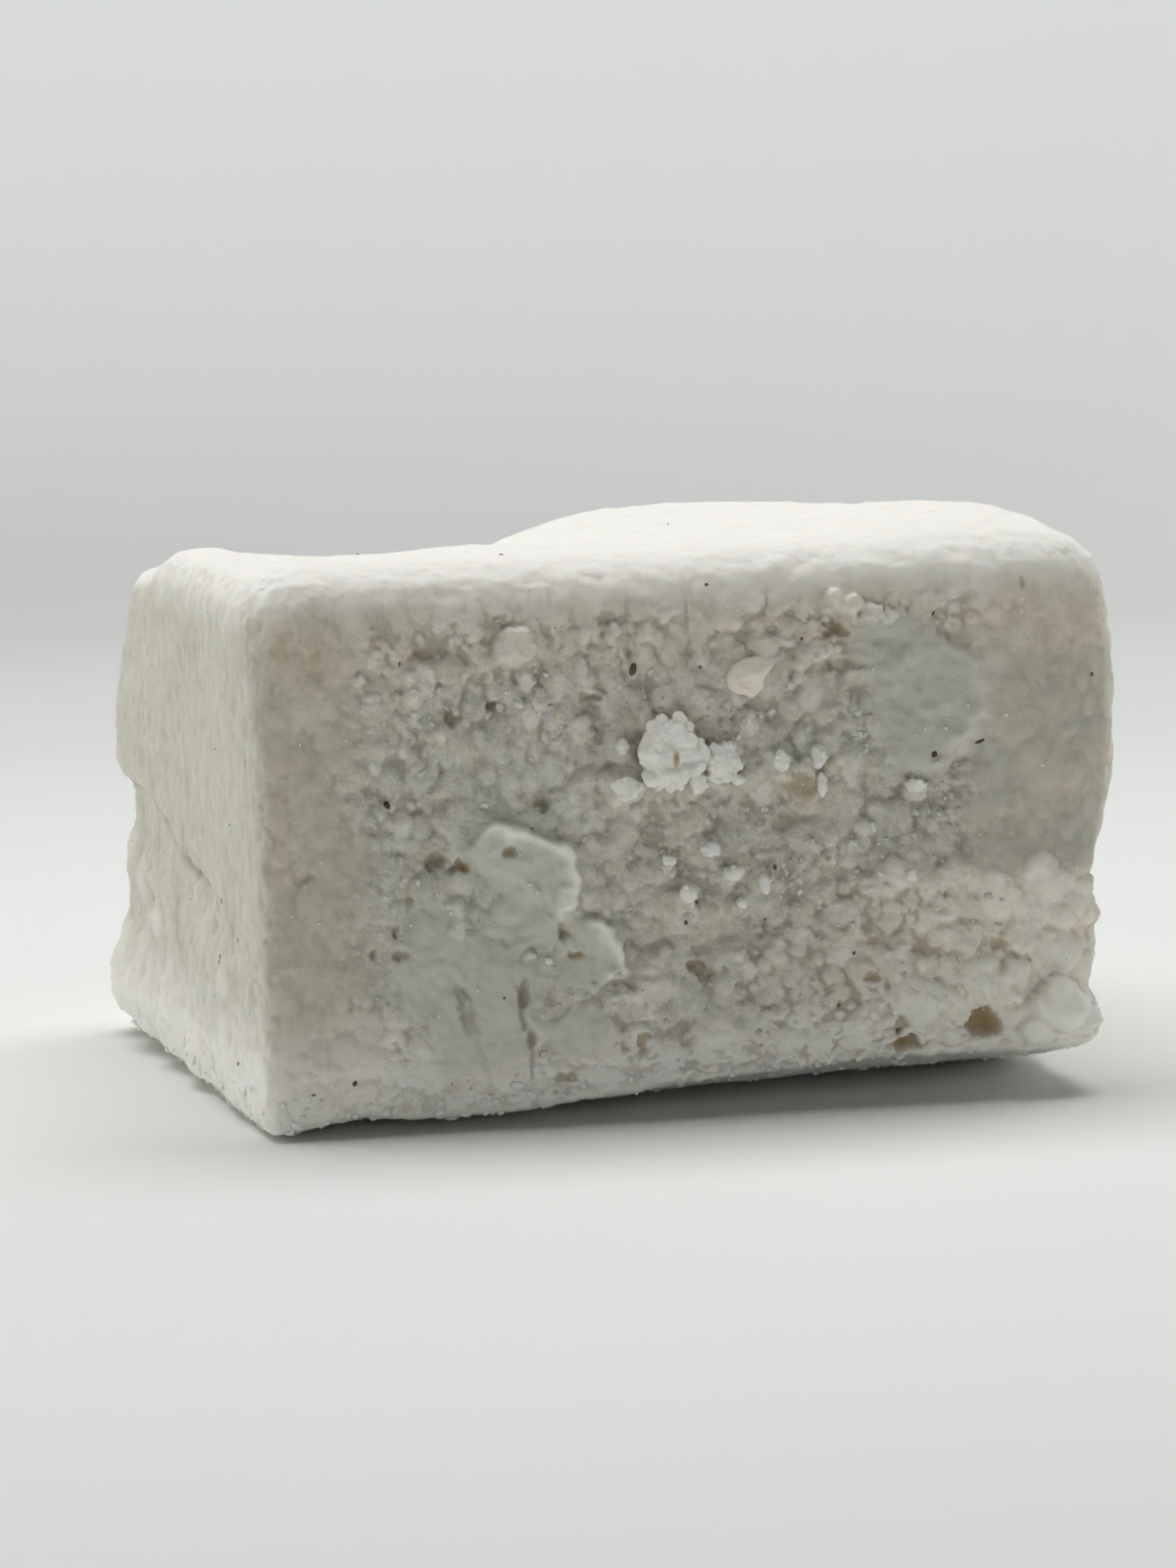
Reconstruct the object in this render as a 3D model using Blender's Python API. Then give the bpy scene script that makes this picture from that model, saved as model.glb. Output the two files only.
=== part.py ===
"""A hand-cut vanilla marshmallow: one soft, springy block.

Metres, +Z up. X runs along the front face, which is the smooth-cut one at -Y.
The origin is at the middle of the flat underside. The block was cut from a slab,
so its front-left corner is crisp, its other edges are soft, and a rough foot of
small lumps runs round the lower part of the other sides.
"""

import math
import random

import bmesh
import bpy
from mathutils import Vector, noise

MM = 0.001

# Driving dimensions of the block
WIDTH = 40.8 * MM
DEPTH = 39.6 * MM
HEIGHT = 25.4 * MM

# Grid of the block's faces, in cells along X, Y and Z
CELLS = (29, 28, 18)
# Above 1, grid lines crowd towards the edges, where the faces turn
CROWDING = 1.25
# On the cube of size 2, an edge that changes less than this along an axis lies across it
FLAT_EDGE = 0.001

# Edge radii: the plan radii belong to the four upright edges, crisp near the cut corner and soft further off
CUT_RADIUS = 1.2 * MM
SOFT_RADIUS = 2.4 * MM
CRISP_REACH = 0.15 * WIDTH
SOFT_REACH = 0.7 * WIDTH
# The top edges' radius at the left and at the right
TOP_RADII = (2.5 * MM, 2.7 * MM)
# How far back the front's upper edge is rounded
FRONT_TOP_RADIUS = 3.4 * MM
BASE_RADIUS = 0.9 * MM

# Hollows and slopes of the faces
TOP_DIP = 1.3 * MM
# Two swellings of the top: (x, y, reach along X, reach along Y, height)
TOP_SWELLS = (
    (17.5 * MM, -7.0 * MM, 8.0 * MM, 13.0 * MM, 1.3 * MM),
    (10.0 * MM, 17.0 * MM, 6.5 * MM, 12.0 * MM, 0.9 * MM),
)
SIDE_WAIST = 0.1 * MM
RIGHT_LEAN = 1.2 * MM
BASE_LIFT = 1.6 * MM
UNEVENNESS = 0.45 * MM
UNEVEN_SPAN = 10.0 * MM

# The rough foot: how high it reaches on each side, how far it stands out, and the crease above it
FOOT_BACK_LEFT = 12.6 * MM
FOOT_FRONT_LEFT = 6.5 * MM
FOOT_RIGHT = 10.5 * MM
FOOT_OUTSET = 0.1 * MM
FOOT_CREASE = 0.6 * MM
CREASE_WIDTH = 1.1 * MM
# The foot fades out over this length towards the cut corner
FOOT_FADE_LEFT = 17.0 * MM
# On the front the foot only turns the right-hand corner: where it starts, and its share of full strength
FOOT_FRONT_START = 13.0 * MM
FOOT_FRONT_SHARE = 0.6
FOOT_WAVE = 0.18
FOOT_WAVE_SPAN = 5.0 * MM

# Lumps along the foot
LUMP_COUNT = 60
LUMP_RADIUS = (1.7 * MM, 3.8 * MM)
LUMP_SHARE = 0.26
LUMP_BAND = (0.05, 0.85)
LUMP_SEED = 7

# No vertex near the underside moves up or down, so the block stands on a flat face
STANDING_BAND = 0.6 * MM

MARSHMALLOW_COLOUR = (0.87, 0.855, 0.79, 1.0)
MARSHMALLOW_ROUGHNESS = 0.85


def clear_scene():
    for obj in list(bpy.data.objects):
        bpy.data.objects.remove(obj, do_unlink=True)


def smooth_step(low, high, value):
    share = min(1.0, max(0.0, (value - low) / (high - low)))
    return share * share * (3.0 - 2.0 * share)


def crowd(share):
    """Moves a grid line at -1..1 towards the nearer end."""
    return math.copysign(1.0 - (1.0 - abs(share)) ** CROWDING, share)


def upright_radius(x, y):
    """The plan radius of the nearest upright edge: crisp at the front left, soft elsewhere."""
    from_cut_edge = math.hypot(x + WIDTH / 2, y + DEPTH / 2)
    softness = smooth_step(CRISP_REACH, SOFT_REACH, from_cut_edge)
    return CUT_RADIUS + (SOFT_RADIUS - CUT_RADIUS) * softness


def plan_radius(point):
    """The plan radius at this height: the front's upper edge is rounded further back."""
    upright = upright_radius(point.x, point.y)
    forward = smooth_step(DEPTH * 0.2, DEPTH * 0.45, -point.y)
    high = smooth_step(HEIGHT * 0.7, HEIGHT * 0.95, point.z)
    return upright + (FRONT_TOP_RADIUS - upright) * forward * high


def top_radius(x):
    """The radius of the upper edges, larger to the right."""
    left, right = TOP_RADII
    return left + (right - left) * smooth_step(-WIDTH * 0.3, WIDTH * 0.45, x)


def rounded(point):
    """A point of the sharp block, moved onto the block with rounded edges."""
    plan = plan_radius(point)
    top = top_radius(point.x)
    level = top if point.z > HEIGHT / 2 else BASE_RADIUS
    limits = (WIDTH / 2 - plan, DEPTH / 2 - plan)
    core = Vector(
        (
            min(limits[0], max(-limits[0], point.x)),
            min(limits[1], max(-limits[1], point.y)),
            min(HEIGHT - top, max(BASE_RADIUS, point.z)),
        )
    )
    radii = Vector((plan, plan, level))
    away = Vector(((point[i] - core[i]) / radii[i] for i in range(3)))
    if away.length_squared == 0.0:
        return point
    away.normalize()
    return Vector((core[i] + away[i] * radii[i] for i in range(3)))


def foot_height(x, y):
    """How high the rough foot reaches beside this point of the plan."""
    along_left = smooth_step(-DEPTH * 0.5, DEPTH * 0.4, y)
    left = FOOT_FRONT_LEFT + (FOOT_BACK_LEFT - FOOT_FRONT_LEFT) * along_left
    across = smooth_step(-WIDTH * 0.45, WIDTH * 0.45, x)
    wave = 1.0 + FOOT_WAVE * noise.noise(Vector((x, y, 0.0)) / FOOT_WAVE_SPAN)
    return (left + (FOOT_RIGHT - left) * across) * wave


def foot_strength(x, y):
    """1 where the foot is rough, 0 where the face is cut clean."""
    across = smooth_step(-WIDTH * 0.45, WIDTH * 0.45, x)
    fade = FOOT_FADE_LEFT + (SOFT_RADIUS - FOOT_FADE_LEFT) * across
    from_front = smooth_step(-DEPTH * 0.5, -DEPTH * 0.5 + fade, y)
    on_front = FOOT_FRONT_SHARE * smooth_step(FOOT_FRONT_START, WIDTH * 0.5, x)
    return max(from_front, on_front)


def foot_inset(point):
    """How far the face is set back here by the crease above the foot. Below it the foot stands out."""
    top = foot_height(point.x, point.y)
    below = 1.0 - smooth_step(top - CREASE_WIDTH, top, point.z)
    beside_crease = math.exp(-(((point.z - top) / CREASE_WIDTH) ** 2))
    return FOOT_CREASE * beside_crease - FOOT_OUTSET * below


def lumps():
    """(centre, radius) of each lump, spread along the foot."""
    chance = random.Random(LUMP_SEED)
    made = []
    while len(made) < LUMP_COUNT:
        turn = chance.uniform(0.0, 2.0 * math.pi)
        radius = chance.uniform(*LUMP_RADIUS)
        reach = max(abs(math.cos(turn)) / WIDTH, abs(math.sin(turn)) / DEPTH) * 2.0
        x, y = math.cos(turn) / reach, math.sin(turn) / reach
        z = chance.uniform(*LUMP_BAND) * foot_height(x, y)
        made.append((Vector((x, y, z)), radius))
    return made


def lump_swell(point, made):
    """The tallest lump here: lumps meet in creases, as curds do."""
    tallest = 0.0
    for centre, radius in made:
        share = (point - centre).length / radius
        if share < 1.0:
            tallest = max(tallest, radius * LUMP_SHARE * math.sqrt(1.0 - share * share))
    return tallest


def top_swell(x, y):
    """How much the top swells up here."""
    swell = 0.0
    for centre_x, centre_y, reach_x, reach_y, height in TOP_SWELLS:
        away = ((x - centre_x) / reach_x) ** 2 + ((y - centre_y) / reach_y) ** 2
        swell += height * math.exp(-away)
    return swell


def settled(point):
    """The slopes and hollows that the soft block has taken on."""
    up = point.z / HEIGHT
    right = smooth_step(0.0, WIDTH / 2, point.x)
    back_left = smooth_step(-DEPTH * 0.15, DEPTH * 0.4, point.y)
    back_left *= 1.0 - smooth_step(-WIDTH * 0.05, WIDTH * 0.1, point.x)
    towards_right = smooth_step(-WIDTH * 0.5, WIDTH * 0.45, point.x)
    towards_front = smooth_step(DEPTH * 0.15, DEPTH * 0.5, -point.y)
    waist = SIDE_WAIST * math.sin(math.pi * up)
    x = point.x * (1.0 - 2.0 * waist / WIDTH) - RIGHT_LEAN * right * (1.0 - up)
    y = point.y * (1.0 - 2.0 * waist / DEPTH)
    lift = BASE_LIFT * towards_right * towards_front * (1.0 - up) ** 2
    top_shape = top_swell(point.x, point.y) - TOP_DIP * back_left
    z = point.z + top_shape * up**2 + lift
    return Vector((x, y, z))


def grid_block():
    """A cube primitive cut into a grid, with its grid lines crowded towards the edges."""
    bpy.ops.mesh.primitive_cube_add(size=2.0)
    block = bpy.context.object
    shape = bmesh.new()
    shape.from_mesh(block.data)
    for axis, cells in enumerate(CELLS):
        along = [e for e in shape.edges if abs(e.verts[0].co[axis] - e.verts[1].co[axis]) > FLAT_EDGE]
        bmesh.ops.subdivide_edges(shape, edges=along, cuts=cells - 1, use_grid_fill=True)
    for vertex in shape.verts:
        a, b, c = (crowd(share) for share in vertex.co)
        vertex.co = (a * WIDTH / 2, b * DEPTH / 2, (c + 1.0) * HEIGHT / 2)
    return block, shape


def shape_block(shape):
    for vertex in shape.verts:
        vertex.co = rounded(vertex.co)
    shape.normal_update()
    made = lumps()
    moved = {}
    for vertex in shape.verts:
        point, out = vertex.co.copy(), vertex.normal.copy()
        swell = (lump_swell(point, made) - foot_inset(point)) * foot_strength(point.x, point.y)
        # Lumps and creases belong to the upright sides
        swell *= 1.0 - smooth_step(0.3, 0.9, abs(out.z))
        swell += UNEVENNESS * noise.noise(point / UNEVEN_SPAN)
        out.z *= smooth_step(STANDING_BAND, 4.0 * STANDING_BAND, point.z)
        moved[vertex] = settled(point + out * swell)
    for vertex, place in moved.items():
        vertex.co = place


def centre_on_base(shape):
    """Puts the origin at the middle of the box's underside."""
    points = [vertex.co for vertex in shape.verts]
    middle = [(min(p[i] for p in points) + max(p[i] for p in points)) / 2 for i in (0, 1)]
    lowest = min(p.z for p in points)
    bmesh.ops.translate(shape, verts=shape.verts, vec=(-middle[0], -middle[1], -lowest))


def marshmallow_material():
    material = bpy.data.materials.new("marshmallow")
    material.use_nodes = True
    shader = material.node_tree.nodes["Principled BSDF"]
    shader.inputs["Base Color"].default_value = MARSHMALLOW_COLOUR
    shader.inputs["Roughness"].default_value = MARSHMALLOW_ROUGHNESS
    shader.inputs["Metallic"].default_value = 0.0
    return material


def main():
    clear_scene()
    parts = bpy.data.collections.new("marshmallow")
    bpy.context.scene.collection.children.link(parts)

    block, shape = grid_block()
    shape_block(shape)
    centre_on_base(shape)
    shape.to_mesh(block.data)
    shape.free()

    block.name = "marshmallow"
    block.data.name = "marshmallow"
    block.data.materials.append(marshmallow_material())
    block.data.shade_smooth()
    for collection in list(block.users_collection):
        collection.objects.unlink(block)
    parts.objects.link(block)


main()
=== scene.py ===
"""The looks of one hand-cut vanilla marshmallow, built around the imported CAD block.

The block's skin is grown from the CAD solid and given its relief in millimetres: torn curd on
the cut faces, films of smooth skin, lumps, pits, creases and streaks. Crumbs, flakes, vanilla
seeds and sugar grains are pieces of their own. X runs along the front face, which looks to -Y.
"""

import collections
import itertools
import math
import random

import bmesh
import bpy
import numpy as np
from mathutils import Matrix, Vector, noise
from mathutils.bvhtree import BVHTree


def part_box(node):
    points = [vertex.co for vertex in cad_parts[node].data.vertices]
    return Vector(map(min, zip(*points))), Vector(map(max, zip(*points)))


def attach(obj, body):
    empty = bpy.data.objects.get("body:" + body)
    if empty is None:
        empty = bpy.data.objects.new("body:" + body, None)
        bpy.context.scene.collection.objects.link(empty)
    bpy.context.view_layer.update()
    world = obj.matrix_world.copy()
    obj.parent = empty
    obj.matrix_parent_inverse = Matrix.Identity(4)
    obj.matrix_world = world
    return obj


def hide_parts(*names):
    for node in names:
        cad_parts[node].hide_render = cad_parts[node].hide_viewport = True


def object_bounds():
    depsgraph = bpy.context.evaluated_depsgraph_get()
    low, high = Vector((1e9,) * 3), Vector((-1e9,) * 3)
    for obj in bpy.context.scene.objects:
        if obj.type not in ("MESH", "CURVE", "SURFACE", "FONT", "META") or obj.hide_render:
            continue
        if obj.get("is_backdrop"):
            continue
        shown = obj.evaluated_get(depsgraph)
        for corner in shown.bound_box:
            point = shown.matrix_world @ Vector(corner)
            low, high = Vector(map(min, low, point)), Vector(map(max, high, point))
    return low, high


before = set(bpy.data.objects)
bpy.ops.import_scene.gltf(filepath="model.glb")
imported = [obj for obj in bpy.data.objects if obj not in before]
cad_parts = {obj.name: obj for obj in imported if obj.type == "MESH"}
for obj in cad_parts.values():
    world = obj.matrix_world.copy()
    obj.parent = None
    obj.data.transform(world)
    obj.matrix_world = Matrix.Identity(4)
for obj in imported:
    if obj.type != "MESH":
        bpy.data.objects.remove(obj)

MM = 0.001
NODE = "marshmallow"
CAD_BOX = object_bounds()
LOWEST, HIGHEST = (np.array(corner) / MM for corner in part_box(NODE))
HEIGHT = (HIGHEST - LOWEST)[2]
FRONT, BACK, LEFT, RIGHT = LOWEST[1], HIGHEST[1], LOWEST[0], HIGHEST[0]

# The skin: how often the CAD faces are divided, how much finer the front and the left face get,
# how far a normal leans out on a face that is levelled, cut finer or smoothed, how many rounds the
# levelling and the smoothing take, and how many triangles are kept in the end
SKIN_LEVELS = 2
FRONT_CUTS = 2
LEFT_CUTS = 1
LEVELLED_LEAN, FINER_LEAN, SMOOTHED_LEAN = 0.75, 0.28, 0.30
LEVELLING_ROUNDS, SMOOTHING_ROUNDS = 4, 3
SKIN_TRIANGLES = 192_000

# CAD vertices nearer than this, in mm, are one, and CAD triangles that meet at less than this
# angle, in radians, are joined
WELD_DISTANCE = 0.001
JOIN_ANGLE = 1.2

# How far a normal leans out where a face begins and where it is fully there
SIDE_LEAN = (0.5, 0.85)
TOP_LEAN = (0.3, 0.8)
# Places that a face's mask leaves below this share are left out of its relief
LEAST_SHARE = 0.02

# Where a film's rim is raised: how far inside its outline and how wide, in mm
RIM_INSET = 0.26
RIM_WIDTH = 0.28
# How much painted highlight a rim gets for each mm that it is raised
RIM_HIGHLIGHT = 5.0

# The nub at the lower right of the front face, which is painted paler and creamier as painted light, and
# the stretch of it that is bare
# of curd: the middle (x, z) of each and how far it spreads, in mm
NUB = (17.5, 3.9)
NUB_SPREAD = (1.6, 1.6)
BARE_NUB = (17.65, 3.9)
BARE_NUB_SPREAD = (1.5, 1.5)

# How much painted shade darkens the smooth skin between the curd, on the left and on the right half of the
# front
SMOOTH_SKIN_SHADE = (0.17, 0.06)

# A film of smooth skin on the front face: its outline of (x, z), how far it stands proud, how high
# its rim is raised and how wide its edge is, all in mm, then the side on which it is raised, how dull
# it is, and how much of the torn foam it covers
Film = collections.namedtuple("Film", "outline proud rim edge side dull cover")
FILMS = (
    # The flake with a raised rim, at the lower left
    Film(
        (
            (-10.0, 13.3), (-9.3, 14.1), (-8.6, 13.9), (-7.6, 13.4), (-6.4, 13.1), (-5.5, 12.2),
            (-5.4, 11.2), (-5.7, 10.1), (-6.1, 9.2), (-6.5, 8.4), (-7.1, 8.2), (-8.7, 8.4), (-9.7, 8.9),
            (-10.0, 9.9), (-9.5, 11.0), (-10.7, 12.6),
        ),
        proud=0.32, rim=0.3, edge=0.2, side=(0.75, 0.65), dull=0.0, cover=0.88,
    ),
    # The skin below it
    Film(
        (
            (-13.7, 7.8), (-13.1, 9.9), (-12.1, 10.3), (-10.8, 9.4), (-9.6, 8.3), (-8.6, 7.9),
            (-7.0, 7.7), (-7.3, 6.0), (-7.7, 4.2), (-8.5, 2.6), (-11.7, 2.4), (-12.3, 5.0),
            (-13.9, 5.8),
        ),
        proud=0.08, rim=0.0, edge=1.0, side=(1.0, 0.0), dull=0.1, cover=0.88,
    ),
    # The tongue to its right
    Film(
        (
            (-6.1, 8.8), (-5.1, 9.4), (-4.4, 9.5), (-3.8, 8.7), (-3.3, 7.4), (-3.4, 6.8), (-4.3, 6.2),
            (-5.5, 6.0), (-6.4, 6.6),
        ),
        proud=0.34, rim=0.28, edge=0.16, side=(1.0, 0.2), dull=0.0, cover=0.88,
    ),
    # The plate under the tongue
    Film(
        (
            (-7.1, 4.9), (-6.3, 5.2), (-5.5, 5.4), (-4.3, 4.9), (-4.0, 3.7), (-5.1, 3.0), (-6.9, 3.3),
        ),
        proud=0.12, rim=0.0, edge=0.6, side=(1.0, 0.0), dull=0.05, cover=0.88,
    ),
    # The greenish skin at the upper right
    Film(
        (
            (7.2, 22.0), (9.3, 22.7), (10.5, 22.4), (11.5, 21.8), (12.2, 21.1), (12.9, 20.7),
            (13.7, 20.0), (14.0, 18.8), (13.9, 17.6), (13.2, 16.7), (12.5, 16.0), (11.5, 15.3),
            (10.1, 15.4), (9.1, 17.0), (8.4, 18.1), (8.2, 19.4), (7.6, 21.1),
        ),
        proud=0.16, rim=0.08, edge=0.45, side=(0.9, -0.4), dull=0.26, cover=0.75,
    ),
)

# A lump on the front face has this many parts round it, and half as many from this half size up.
# The warp is how far lumps stray from round, in mm
LUMP_PARTS = 8
LARGE_LUMP = 0.9
LUMP_WARP = 0.12

# Lumps on the front face: (x, z, half width, half height, how far it stands out), in mm
FRONT_LUMPS = (
    (-8.2, 21.6, 0.95, 1.05, 0.75), (-12.5, 20.2, 0.65, 0.85, 0.35), (-14.7, 19.6, 0.45, 0.45, 0.3),
    (-15.1, 20.5, 0.3, 0.35, 0.25), (-11.5, 17.9, 0.3, 0.35, 0.4), (-7.5, 20.3, 0.35, 0.55, 0.35),
    (-7.0, 19.3, 0.35, 0.5, 0.35), (-5.1, 18.0, 0.7, 0.6, 0.35), (-5.0, 20.6, 0.3, 0.7, 0.28),
    (-3.5, 22.0, 0.25, 0.7, 0.25), (-2.0, 21.8, 0.3, 0.8, 0.25), (-11.0, 10.2, 0.45, 0.5, 0.4),
    (-10.9, 9.2, 0.35, 0.5, 0.3), (-3.4, 5.7, 0.65, 0.5, 0.45), (-2.0, 6.8, 0.95, 1.25, 0.5),
    (-7.7, 7.8, 0.25, 0.3, 0.3), (0.4, 18.8, 0.75, 0.6, 0.38), (2.5, 17.9, 0.6, 0.5, 0.3),
    (5.9, 20.9, 0.85, 0.35, 0.35), (3.8, 15.9, 0.8, 0.8, 0.45), (5.1, 15.2, 0.85, 0.95, 0.6),
    (10.5, 14.4, 0.7, 0.45, 0.45), (1.6, 10.9, 0.55, 0.5, 0.5), (3.1, 10.6, 0.4, 0.55, 0.4),
    (2.0, 9.6, 0.4, 0.4, 0.4), (-1.3, 11.7, 0.5, 0.4, 0.35), (-0.6, 9.9, 0.55, 0.75, 0.35),
    (9.1, 10.4, 1.1, 0.94, 0.4), (11.8, 8.9, 0.83, 0.61, 0.25), (3.6, 4.5, 0.5, 0.25, 0.3),
    (2.1, 7.2, 0.5, 0.35, 0.35), (3.8, 7.3, 0.6, 0.6, 0.3), (16.8, 9.2, 1.76, 1.65, 0.32),
    (17.2, 6.6, 1.54, 1.21, 0.36), (17.35, 4.1, 1.55, 1.45, 1.3), (13.5, 5.9, 1.32, 0.99, 0.4),
    (10.9, 4.6, 1.65, 1.32, 0.43), (15.1, 5.4, 0.99, 1.32, 0.43), (14.3, 9.4, 1.1, 1.21, 0.32),
    (12.6, 7.6, 1.1, 0.88, 0.32), (15.6, 7.6, 1.21, 0.99, 0.36), (9.6, 6.4, 0.99, 0.88, 0.32),
    (18.6, 9.0, 1.1, 1.21, 0.36), (12.2, 10.6, 0.88, 0.66, 0.25), (16.0, 3.0, 0.88, 0.77, 0.36),
    (8.2, 4.0, 1.21, 0.88, 0.25), (11.7, 2.9, 0.88, 0.55, 0.25), (6.7, 8.6, 0.9, 1.0, 0.35),
    (6.8, 23.3, 0.45, 0.4, 0.4), (7.6, 22.9, 0.6, 0.45, 0.45), (8.6, 22.6, 0.6, 0.4, 0.4),
    (9.4, 22.4, 0.4, 0.3, 0.3), (-3.4, 15.3, 1.0, 1.0, 0.6), (0.7, 12.4, 0.45, 0.4, 0.35),
)

# Lumps on the left face: (y, z, half width, half height, how far it stands out), in mm
LEFT_LUMPS = (
    (16.0, 4.0, 2.8, 2.5, 0.3), (13.0, 8.4, 2.8, 1.7, 0.12), (17.0, 9.6, 2.2, 1.6, 0.12),
    (8.0, 6.8, 2.6, 1.2, 0.2), (11.6, 3.0, 1.8, 1.4, 0.25), (-11.5, 6.0, 1.5, 1.0, 0.15),
    (2.0, 3.4, 2.0, 1.3, 0.2),
)

# How far pits stray from round, in mm, and how much wider than a pit its stain reaches
PIT_WARP = 0.32
HALO_SIZE = 1.7

# Pits in the front face: (x, z, half width, half height, depth), in mm, and how brown it is inside
FRONT_PITS = (
    (-10.85, 6.0, 0.28, 0.65, 0.2, 0.05), (-10.45, 5.1, 0.38, 0.75, 0.22, 0.05),
    (-8.1, 6.1, 0.34, 0.55, 0.3, 0.15), (-8.1, 5.0, 0.22, 0.6, 0.2, 0.05),
    (-7.85, 4.0, 0.22, 0.45, 0.22, 0.1), (13.6, 3.4, 0.9, 0.85, 1.0, 1.0),
    (9.9, 2.4, 0.7, 0.5, 0.9, 1.0), (9.5, 3.3, 0.2, 0.25, 0.4, 0.7), (8.2, 6.0, 0.45, 0.25, 0.35, 0.6),
    (14.4, 7.2, 0.45, 0.4, 0.25, 0.4), (0.0, 6.8, 0.55, 0.32, 0.6, 0.5), (0.5, 6.4, 0.4, 0.3, 0.3, 0.4),
    (-11.9, 12.3, 0.45, 0.45, 0.6, 0.4), (-10.7, 11.9, 0.45, 0.25, 0.45, 0.8),
    (-8.4, 12.5, 0.35, 0.25, 0.35, 0.5), (-5.5, 7.7, 0.22, 0.28, 0.5, 0.7),
    (-6.1, 8.7, 0.35, 0.25, 0.45, 0.3), (-2.6, 3.5, 0.28, 0.45, 0.25, 0.55),
    (-6.2, 2.1, 0.45, 0.35, 0.1, 0.35), (6.8, 21.9, 0.6, 0.4, 0.6, 0.5),
    (7.2, 20.3, 0.9, 0.25, 0.35, 0.1), (-12.5, 21.7, 0.4, 0.45, 0.12, 0.75),
    (-18.5, 21.8, 0.4, 0.75, 0.03, 0.5), (-17.0, 21.2, 0.4, 0.95, 0.03, 0.45),
    (-11.0, 18.7, 0.28, 0.35, 0.5, 0.2), (-9.3, 19.1, 0.3, 0.2, 0.45, 0.1),
    (15.8, 23.5, 0.22, 0.3, 0.1, 0.6), (4.2, 13.3, 0.75, 0.35, 0.3, 0.1),
    (-4.7, 19.3, 0.4, 0.25, 0.4, 0.1), (-4.3, 18.2, 0.22, 0.65, 0.22, 0.1),
    (-13.0, 10.6, 0.28, 0.28, 0.25, 0.5), (-12.7, 14.5, 0.35, 0.25, 0.35, 0.35),
    (-2.7, 21.2, 0.25, 0.3, 0.2, 0.35), (2.1, 16.0, 0.2, 0.2, 0.3, 0.1),
    (-13.6, 8.2, 0.3, 0.2, 0.35, 0.1), (-14.9, 8.3, 0.35, 0.2, 0.35, 0.1),
    (-13.7, 9.2, 0.2, 0.35, 0.3, 0.1), (5.0, 14.9, 0.75, 0.7, 0.03, 0.6),
    (-4.8, 6.7, 0.15, 0.15, 0.2, 0.4), (-6.8, 14.5, 0.35, 0.5, 0.45, 0.2),
    (-17.9, 11.8, 0.5, 0.25, 0.2, 0.2),
)

# Cracks in the front face: lines of (x, z), width and depth, in mm
FRONT_CRACKS = (
    (((-11.1, 6.7), (-10.95, 5.9), (-10.75, 5.0), (-10.35, 4.4)), 0.1, 0.25),
    (((-10.9, 6.6), (-10.55, 6.0), (-10.2, 5.2), (-10.2, 4.5)), 0.08, 0.18),
    (((-8.0, 6.7), (-8.2, 5.9), (-8.1, 5.0), (-7.8, 3.9)), 0.12, 0.25),
    (((-10.2, 4.3), (-9.9, 3.3), (-9.6, 2.4)), 0.09, 0.2),
    (((-7.8, 3.7), (-7.8, 2.9), (-7.7, 2.2)), 0.09, 0.2),
    (((-6.5, 8.3), (-7.1, 8.2), (-8.7, 8.4), (-9.8, 8.8)), 0.1, 0.14),
    (((-7.2, 4.8), (-6.3, 5.1), (-5.6, 5.8)), 0.1, 0.18),
    (((0.0, 7.0), (1.9, 8.2), (3.3, 8.8), (4.5, 9.9), (5.7, 10.6), (8.2, 10.9)), 0.35, 0.16),
    (((12.3, 15.4), (12.9, 15.8), (13.6, 16.4), (14.2, 17.0)), 0.14, 0.16),
    (((12.1, 21.0), (11.9, 20.5), (12.0, 19.6), (10.2, 19.4)), 0.08, 0.1),
    (((-8.5, 11.6), (-9.0, 10.8), (-9.6, 9.9), (-10.3, 10.3)), 0.07, 0.13),
    (((-7.4, 11.1), (-7.0, 10.3), (-6.6, 9.4), (-6.3, 8.8)), 0.07, 0.12),
    (((-5.0, 19.1), (-4.3, 18.8), (-4.1, 17.9)), 0.16, 0.25),
    (((-16.6, 9.5), (-15.6, 9.3), (-15.1, 8.3), (-13.4, 8.1)), 0.1, 0.08),
)

# How far the lower edge of the front rises: (x, rise), in mm
LOWER_EDGE_LIFT = (
    (-19.7, 0.0), (-17.3, 0.4), (-15.4, 0.65), (-13.5, 0.42), (-11.0, 0.25), (-7.9, 0.25), (-4.7, 0.35),
    (-1.6, 0.55), (4.7, 0.6), (8.0, 0.7), (14.0, 0.5), (19.0, 0.2),
)

# How far the back left and the front right corner swell at each height: (z, outset), in mm
LEFT_OUTSETS = (
    (0.8, 0.0), (1.7, 0.4), (2.8, 0.75), (3.7, 0.9), (4.7, 0.7), (5.8, 0.38), (7.0, 0.35), (8.4, 0.15),
    (9.4, 0.0), (10.5, -0.28), (12.4, 0.0), (13.2, 0.45), (14.2, 0.65), (16.0, 0.65), (18.0, 0.6),
    (19.5, 0.3), (21.5, 0.05), (23.0, 0.0),
)
RIGHT_OUTSETS = (
    (2.0, 0.0), (4.0, -0.14), (4.8, -0.4), (5.6, -0.28), (7.4, -0.18), (8.2, 0.0), (9.0, -0.1),
    (9.9, -0.25), (10.7, -0.2), (11.6, 0.12), (13.0, 0.2), (14.0, 0.35), (18.4, 0.33), (21.5, 0.2),
    (24.0, 0.0),
)

# Swellings and dents of the top: (x, y, half length, half depth, rise), in mm
TOP_OFFSETS = (
    (-18.5, 6.0, 2.8, 6.0, 0.75), (-12.5, -6.0, 7.5, 16.0, -0.48), (3.0, 14.0, 2.5, 8.0, 0.18),
    (-4.5, 14.0, 1.8, 8.0, -0.28), (0.3, 16.0, 1.2, 8.0, 0.22),
)

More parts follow.
